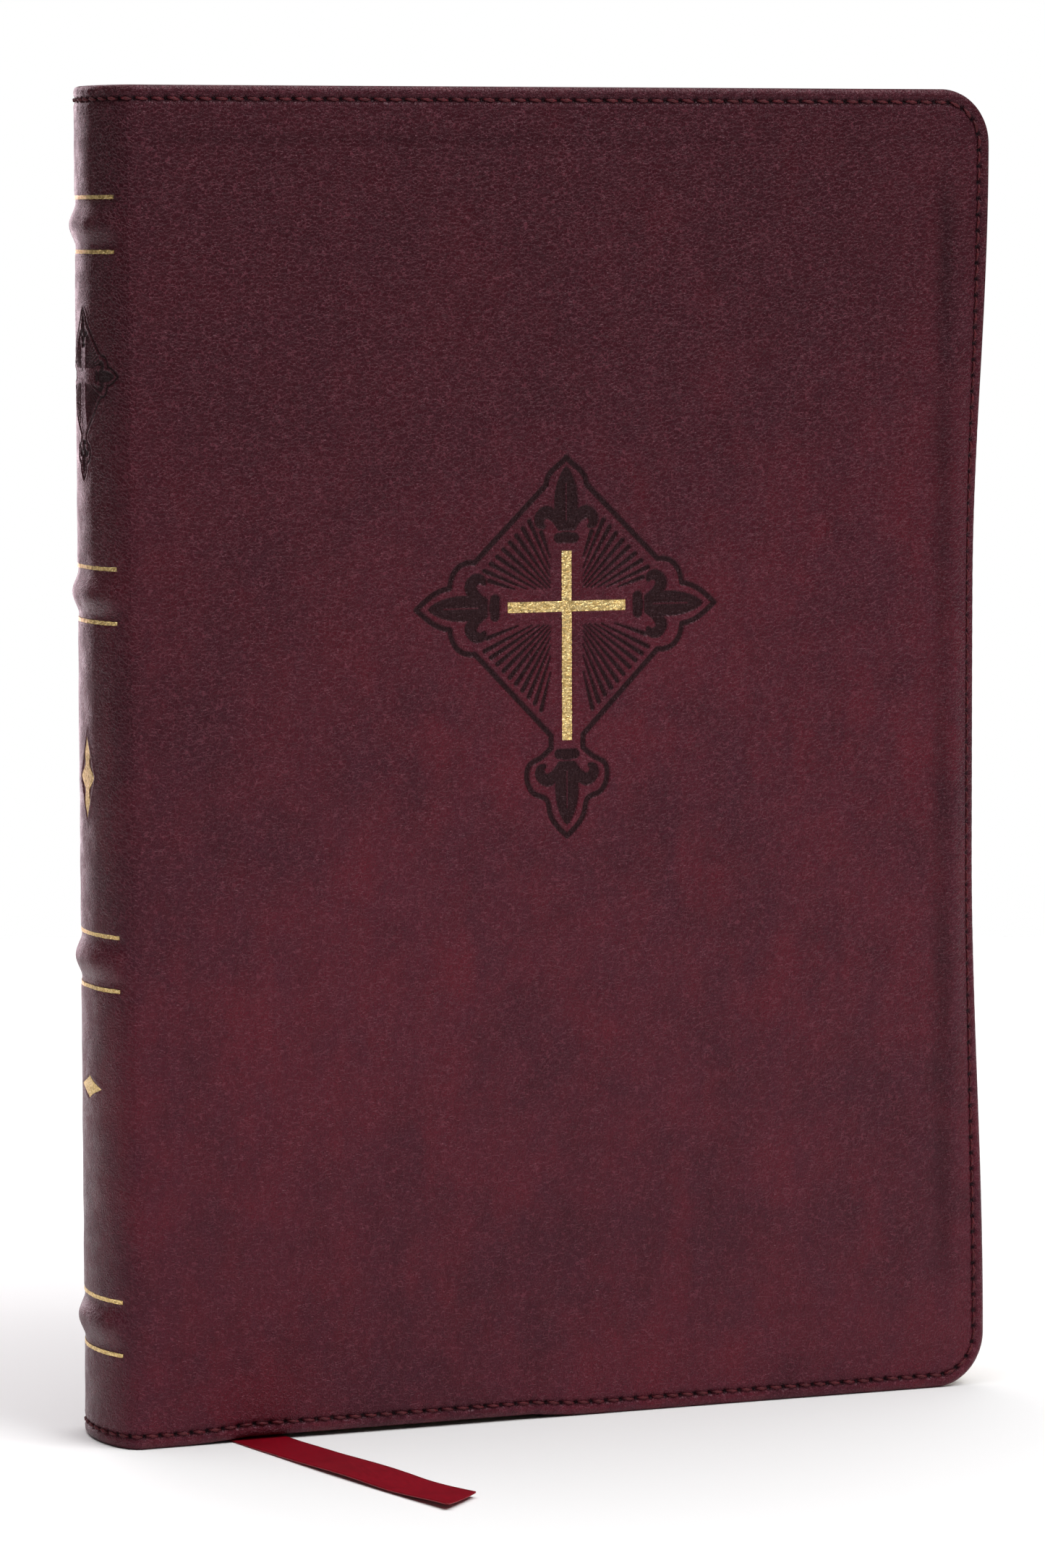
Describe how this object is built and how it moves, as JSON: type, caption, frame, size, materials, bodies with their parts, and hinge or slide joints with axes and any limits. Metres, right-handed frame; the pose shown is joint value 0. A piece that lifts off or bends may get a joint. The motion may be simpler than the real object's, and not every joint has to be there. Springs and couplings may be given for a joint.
{
  "type": "prayer book",
  "caption": "Devotional book in a soft imitation-leather case binding with raised spine bands, foil cross, marker ribbon, opening covers and page sections.",
  "frame": {"origin": "under the middle of the closed book, on the surface its tail edges stand on (the marker ribbon left out)", "axes": "+X from the spine to the fore edge, +Y from the front cover to the back cover, +Z from tail to head"},
  "size_m": [0.172, 0.0951, 0.241],
  "materials": {
    "leather": "semi-gloss fine pebble grain",
    "card": "matte",
    "endpaper": "matte",
    "page_paper": "thin paper, gilt edges",
    "crimson_thread": "twisted thread",
    "white_thread": "twisted thread",
    "gauze": "open weave",
    "gold_foil": "hot-stamped foil",
    "band_cloth": "striped band",
    "red_satin": "satin"
  },
  "bodies": {
    "spine": {"head_band": "band_cloth", "marker_ribbon": "red_satin", "raised_band_core_1": "card", "raised_band_core_2": "card", "raised_band_core_3": "card", "raised_band_core_4": "card", "sewing_thread_1": "white_thread", "sewing_thread_2": "white_thread", "sewing_thread_3": "white_thread", "sewing_thread_4": "white_thread", "spine_card_liner": "card", "spine_foil_ornament_lower": "gold_foil", "spine_foil_ornament_upper": "gold_foil", "spine_gauze": "gauze", "spine_gold_rule_1": "gold_foil", "spine_gold_rule_2": "gold_foil", "spine_gold_rule_3": "gold_foil", "spine_gold_rule_4": "gold_foil", "spine_gold_rule_5": "gold_foil", "spine_gold_rule_6": "gold_foil", "spine_gold_rule_7": "gold_foil", "spine_gold_rule_8": "gold_foil", "spine_skin": "leather", "spine_stitching_head": "crimson_thread", "spine_stitching_tail": "crimson_thread", "tail_band": "band_cloth"},
    "front_cover": {"front_cover_skin": "leather", "front_cover_board": "card", "front_pasted_endpaper": "endpaper", "front_margin_stitching": "crimson_thread", "front_foil_cross": "gold_foil"},
    "back_cover": {"back_cover_skin": "leather", "back_cover_board": "card", "back_pasted_endpaper": "endpaper", "back_margin_stitching": "crimson_thread"},
    "front_flyleaf": {"front_flyleaf": "endpaper"},
    "back_flyleaf": {"back_flyleaf": "endpaper"},
    "page_section_01": {"page_section_01": "page_paper"},
    "page_section_02": {"page_section_02": "page_paper"},
    "page_section_03": {"page_section_03": "page_paper"},
    "page_section_04": {"page_section_04": "page_paper"},
    "page_section_05": {"page_section_05": "page_paper"},
    "page_section_10": {"page_section_10": "page_paper"},
    "page_section_09": {"page_section_09": "page_paper"},
    "page_section_08": {"page_section_08": "page_paper"},
    "page_section_07": {"page_section_07": "page_paper"},
    "page_section_06": {"page_section_06": "page_paper"}
  },
  "joints": [
    {"name": "front_cover_hinge", "type": "hinge", "parent": "spine", "child": "front_cover", "pos_m": [-0.0795, -0.0131, 0.1205], "axis": [0, 0, -1], "range_deg": [0, 175]},
    {"name": "back_cover_hinge", "type": "hinge", "parent": "spine", "child": "back_cover", "pos_m": [-0.0795, 0.0131, 0.1205], "axis": [0, 0, 1], "range_deg": [0, 175]},
    {"name": "front_flyleaf_fold", "type": "hinge", "parent": "spine", "child": "front_flyleaf", "pos_m": [-0.0795, -0.01072, 0.1197], "axis": [0, 0, -1], "range_deg": [0, 87.5]},
    {"name": "page_section_01_fold", "type": "hinge", "parent": "spine", "child": "page_section_01", "pos_m": [-0.0795, -0.01072, 0.1197], "axis": [0, 0, -1], "range_deg": [0, 80.5]},
    {"name": "page_section_02_fold", "type": "hinge", "parent": "spine", "child": "page_section_02", "pos_m": [-0.0795, -0.01072, 0.1197], "axis": [0, 0, -1], "range_deg": [0, 66.5]},
    {"name": "page_section_03_fold", "type": "hinge", "parent": "spine", "child": "page_section_03", "pos_m": [-0.0795, -0.01072, 0.1197], "axis": [0, 0, -1], "range_deg": [0, 49]},
    {"name": "page_section_04_fold", "type": "hinge", "parent": "spine", "child": "page_section_04", "pos_m": [-0.0795, -0.01072, 0.1197], "axis": [0, 0, -1], "range_deg": [0, 31.5]},
    {"name": "page_section_05_fold", "type": "hinge", "parent": "spine", "child": "page_section_05", "pos_m": [-0.0795, -0.01072, 0.1197], "axis": [0, 0, -1], "range_deg": [0, 15.75]},
    {"name": "back_flyleaf_fold", "type": "hinge", "parent": "spine", "child": "back_flyleaf", "pos_m": [-0.0795, 0.01072, 0.1197], "axis": [0, 0, 1], "range_deg": [0, 87.5]},
    {"name": "page_section_10_fold", "type": "hinge", "parent": "spine", "child": "page_section_10", "pos_m": [-0.0795, 0.01072, 0.1197], "axis": [0, 0, 1], "range_deg": [0, 80.5]},
    {"name": "page_section_09_fold", "type": "hinge", "parent": "spine", "child": "page_section_09", "pos_m": [-0.0795, 0.01072, 0.1197], "axis": [0, 0, 1], "range_deg": [0, 66.5]},
    {"name": "page_section_08_fold", "type": "hinge", "parent": "spine", "child": "page_section_08", "pos_m": [-0.0795, 0.01072, 0.1197], "axis": [0, 0, 1], "range_deg": [0, 49]},
    {"name": "page_section_07_fold", "type": "hinge", "parent": "spine", "child": "page_section_07", "pos_m": [-0.0795, 0.01072, 0.1197], "axis": [0, 0, 1], "range_deg": [0, 31.5]},
    {"name": "page_section_06_fold", "type": "hinge", "parent": "spine", "child": "page_section_06", "pos_m": [-0.0795, 0.01072, 0.1197], "axis": [0, 0, 1], "range_deg": [0, 15.75]}
  ],
  "couplings": [
    {"joint": "front_flyleaf_fold", "follows": "front_cover_hinge", "ratio": 0.5},
    {"joint": "page_section_01_fold", "follows": "front_cover_hinge", "ratio": 0.46},
    {"joint": "page_section_02_fold", "follows": "front_cover_hinge", "ratio": 0.38},
    {"joint": "page_section_03_fold", "follows": "front_cover_hinge", "ratio": 0.28},
    {"joint": "page_section_04_fold", "follows": "front_cover_hinge", "ratio": 0.18},
    {"joint": "page_section_05_fold", "follows": "front_cover_hinge", "ratio": 0.09},
    {"joint": "back_flyleaf_fold", "follows": "back_cover_hinge", "ratio": 0.5},
    {"joint": "page_section_10_fold", "follows": "back_cover_hinge", "ratio": 0.46},
    {"joint": "page_section_09_fold", "follows": "back_cover_hinge", "ratio": 0.38},
    {"joint": "page_section_08_fold", "follows": "back_cover_hinge", "ratio": 0.28},
    {"joint": "page_section_07_fold", "follows": "back_cover_hinge", "ratio": 0.18},
    {"joint": "page_section_06_fold", "follows": "back_cover_hinge", "ratio": 0.09}
  ]
}
